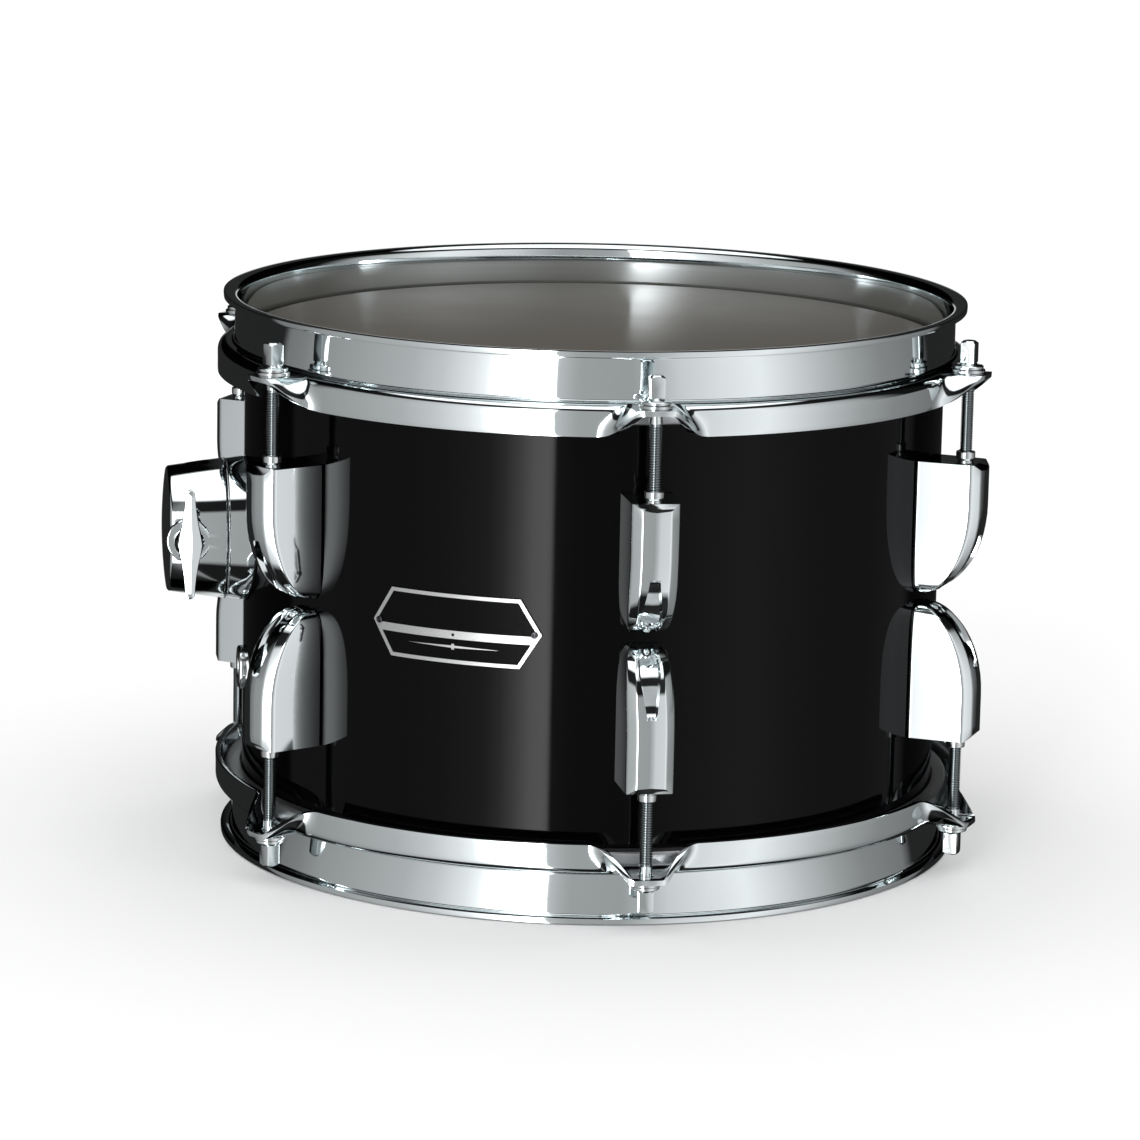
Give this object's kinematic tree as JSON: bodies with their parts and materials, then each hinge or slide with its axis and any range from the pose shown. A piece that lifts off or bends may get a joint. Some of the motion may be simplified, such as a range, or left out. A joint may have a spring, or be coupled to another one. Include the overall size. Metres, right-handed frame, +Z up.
{
  "type": "tom tom drum",
  "caption": "Rack tom drum with a gloss black shell, chrome hoops, lugs and tension rods, clear heads, and a round bracket with a wing nut for a mounting rod.",
  "frame": {"origin": "on the drum's axis, in the plane of the lower hoop's rim that it stands on", "axes": "+Z up along the drum's axis towards the batter head; -Y is the side where the front column of lugs stands; -X points out through the middle of the rod bracket"},
  "size_m": [0.3521, 0.36, 0.2392],
  "materials": {
    "shell_ply": "clear sealed ply with a satin sheen",
    "black_wrap": "high gloss black covering sheet",
    "head_film": "clear polyester film, faintly smoky and glossy",
    "flesh_hoop_aluminium": "dull mill finish",
    "hoop_chrome": "bright chrome plate over pressed steel sheet",
    "rod_chrome": "bright chrome plate over steel",
    "cast_chrome": "bright chrome plate over die-cast zinc",
    "bright_steel": "bright nickel plate over steel",
    "plain_steel": "zinc plated steel",
    "black_gasket": "matt black fibre-filled rubber",
    "badge_metal": "gloss black enamel with a bright metal border, bar and line",
    "grommet_metal": "bright plated steel, rolled edge"
  },
  "bodies": {
    "drum": {"shell": "shell_ply", "shell_wrap": "black_wrap", "badge_plate": "badge_metal", "badge_pins": "bright_steel", "vent_grommet": "grommet_metal", "bracket_gasket": "black_gasket", "bracket_base": "cast_chrome", "bracket_housing": "cast_chrome", "bracket_screws": "plain_steel", "bracket_screw_washers": "plain_steel", "batter_film": "head_film", "batter_flesh_hoop": "flesh_hoop_aluminium", "batter_lug_gaskets": "black_gasket", "batter_swivel_nuts": "bright_steel", "batter_lug_screws": "plain_steel", "batter_lug_screw_washers": "plain_steel", "batter_lug_1": "cast_chrome", "batter_lug_2": "cast_chrome", "batter_lug_3": "cast_chrome", "batter_lug_4": "cast_chrome", "batter_lug_5": "cast_chrome", "batter_lug_6": "cast_chrome", "resonant_film": "head_film", "resonant_flesh_hoop": "flesh_hoop_aluminium", "resonant_lug_gaskets": "black_gasket", "resonant_swivel_nuts": "bright_steel", "resonant_lug_screws": "plain_steel", "resonant_lug_screw_washers": "plain_steel", "resonant_lug_1": "cast_chrome", "resonant_lug_2": "cast_chrome", "resonant_lug_3": "cast_chrome", "resonant_lug_4": "cast_chrome", "resonant_lug_5": "cast_chrome", "resonant_lug_6": "cast_chrome"},
    "batter_hoop": {"batter_hoop": "hoop_chrome", "batter_rod_washers": "bright_steel"},
    "resonant_hoop": {"resonant_hoop": "hoop_chrome", "resonant_rod_washers": "bright_steel"},
    "batter_rod_1": {"batter_rod_1": "rod_chrome"},
    "batter_rod_2": {"batter_rod_2": "rod_chrome"},
    "batter_rod_3": {"batter_rod_3": "rod_chrome"},
    "batter_rod_4": {"batter_rod_4": "rod_chrome"},
    "batter_rod_5": {"batter_rod_5": "rod_chrome"},
    "batter_rod_6": {"batter_rod_6": "rod_chrome"},
    "resonant_rod_1": {"resonant_rod_1": "rod_chrome"},
    "resonant_rod_2": {"resonant_rod_2": "rod_chrome"},
    "resonant_rod_3": {"resonant_rod_3": "rod_chrome"},
    "resonant_rod_4": {"resonant_rod_4": "rod_chrome"},
    "resonant_rod_5": {"resonant_rod_5": "rod_chrome"},
    "resonant_rod_6": {"resonant_rod_6": "rod_chrome"},
    "eye_bolt": {"eye_bolt": "plain_steel"},
    "wing_nut": {"wing_nut": "cast_chrome"}
  },
  "joints": [
    {"name": "batter_hoop_slide", "type": "slide", "parent": "drum", "child": "batter_hoop", "axis": [0, 0, 1], "range_m": [0, 0.004]},
    {"name": "batter_rod_1_turn", "type": "hinge", "parent": "batter_hoop", "child": "batter_rod_1", "pos_m": [0, -0.1704, 0.21975], "axis": [0, 0, 1], "range_deg": [0, 1362]},
    {"name": "batter_rod_2_turn", "type": "hinge", "parent": "batter_hoop", "child": "batter_rod_2", "pos_m": [0.14757, -0.0852, 0.21975], "axis": [0, 0, 1], "range_deg": [0, 1362]},
    {"name": "batter_rod_3_turn", "type": "hinge", "parent": "batter_hoop", "child": "batter_rod_3", "pos_m": [0.14757, 0.0852, 0.21975], "axis": [0, 0, 1], "range_deg": [0, 1362]},
    {"name": "batter_rod_4_turn", "type": "hinge", "parent": "batter_hoop", "child": "batter_rod_4", "pos_m": [0, 0.1704, 0.21975], "axis": [0, 0, 1], "range_deg": [0, 1362]},
    {"name": "batter_rod_5_turn", "type": "hinge", "parent": "batter_hoop", "child": "batter_rod_5", "pos_m": [-0.14757, 0.0852, 0.21975], "axis": [0, 0, 1], "range_deg": [0, 1362]},
    {"name": "batter_rod_6_turn", "type": "hinge", "parent": "batter_hoop", "child": "batter_rod_6", "pos_m": [-0.14757, -0.0852, 0.21975], "axis": [0, 0, 1], "range_deg": [0, 1362]},
    {"name": "resonant_hoop_slide", "type": "slide", "parent": "drum", "child": "resonant_hoop", "axis": [0, 0, -1], "range_m": [0, 0.004]},
    {"name": "resonant_rod_1_turn", "type": "hinge", "parent": "resonant_hoop", "child": "resonant_rod_1", "pos_m": [0, -0.1704, 0.01945], "axis": [0, 0, -1], "range_deg": [0, 1362]},
    {"name": "resonant_rod_2_turn", "type": "hinge", "parent": "resonant_hoop", "child": "resonant_rod_2", "pos_m": [0.14757, -0.0852, 0.01945], "axis": [0, 0, -1], "range_deg": [0, 1362]},
    {"name": "resonant_rod_3_turn", "type": "hinge", "parent": "resonant_hoop", "child": "resonant_rod_3", "pos_m": [0.14757, 0.0852, 0.01945], "axis": [0, 0, -1], "range_deg": [0, 1362]},
    {"name": "resonant_rod_4_turn", "type": "hinge", "parent": "resonant_hoop", "child": "resonant_rod_4", "pos_m": [0, 0.1704, 0.01945], "axis": [0, 0, -1], "range_deg": [0, 1362]},
    {"name": "resonant_rod_5_turn", "type": "hinge", "parent": "resonant_hoop", "child": "resonant_rod_5", "pos_m": [-0.14757, 0.0852, 0.01945], "axis": [0, 0, -1], "range_deg": [0, 1362]},
    {"name": "resonant_rod_6_turn", "type": "hinge", "parent": "resonant_hoop", "child": "resonant_rod_6", "pos_m": [-0.14757, -0.0852, 0.01945], "axis": [0, 0, -1], "range_deg": [0, 1362]},
    {"name": "wing_nut_turn", "type": "hinge", "parent": "drum", "child": "wing_nut", "pos_m": [-0.1784, 0, 0.1367], "axis": [0, -1, 0], "range_deg": [-180, 360]},
    {"name": "eye_bolt_slide", "type": "slide", "parent": "drum", "child": "eye_bolt", "axis": [0, 1, 0], "range_m": [-0.00063, 0.00126]}
  ],
  "couplings": [
    {"joint": "batter_rod_1_turn", "follows": "batter_hoop_slide", "rad_per_m": 5936.9},
    {"joint": "batter_rod_2_turn", "follows": "batter_hoop_slide", "rad_per_m": 5936.9},
    {"joint": "batter_rod_3_turn", "follows": "batter_hoop_slide", "rad_per_m": 5936.9},
    {"joint": "batter_rod_4_turn", "follows": "batter_hoop_slide", "rad_per_m": 5936.9},
    {"joint": "batter_rod_5_turn", "follows": "batter_hoop_slide", "rad_per_m": 5936.9},
    {"joint": "batter_rod_6_turn", "follows": "batter_hoop_slide", "rad_per_m": 5936.9},
    {"joint": "resonant_rod_1_turn", "follows": "resonant_hoop_slide", "rad_per_m": 5936.9},
    {"joint": "resonant_rod_2_turn", "follows": "resonant_hoop_slide", "rad_per_m": 5936.9},
    {"joint": "resonant_rod_3_turn", "follows": "resonant_hoop_slide", "rad_per_m": 5936.9},
    {"joint": "resonant_rod_4_turn", "follows": "resonant_hoop_slide", "rad_per_m": 5936.9},
    {"joint": "resonant_rod_5_turn", "follows": "resonant_hoop_slide", "rad_per_m": 5936.9},
    {"joint": "resonant_rod_6_turn", "follows": "resonant_hoop_slide", "rad_per_m": 5936.9},
    {"joint": "eye_bolt_slide", "follows": "wing_nut_turn", "m_per_rad": 0.00019894}
  ]
}
